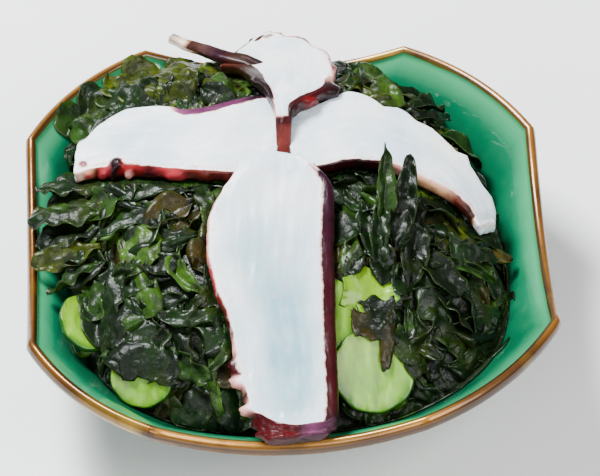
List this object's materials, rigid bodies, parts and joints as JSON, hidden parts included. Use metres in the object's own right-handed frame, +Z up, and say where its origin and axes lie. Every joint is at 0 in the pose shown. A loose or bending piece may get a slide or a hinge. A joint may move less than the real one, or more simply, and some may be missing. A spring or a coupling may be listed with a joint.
{
  "type": "cooked octopus in a dish",
  "caption": "Slices of cooked octopus and cucumber laid on a heap of wakame in a squarish glazed dish with cut corners, sagging sides and a gilt lip.",
  "frame": {"origin": "on the table, under the middle of the whole object's box", "axes": "+Z up, +Y from the front of the dish, where the long slice rests on the lip, towards its back, +X to the right"},
  "size_m": [0.1574, 0.1597, 0.0704],
  "materials": {
    "glaze": "glossy teal green with a worn gilt lip",
    "octopus": "moist white flesh with a dark red to purple skin along the edges",
    "wakame": "wet dark green leaves",
    "cucumber": "moist pale green flesh with a dark green skin"
  },
  "bodies": {
    "root": {"dish": "glaze", "octopus_left": "octopus", "octopus_right": "octopus", "octopus_front": "octopus", "octopus_back": "octopus", "cucumber_under_slice": "cucumber", "cucumber_front": "cucumber", "cucumber_curled": "cucumber", "cucumber_left": "cucumber", "cucumber_front_left": "cucumber", "wakame": "wakame"}
  },
  "joints": []
}
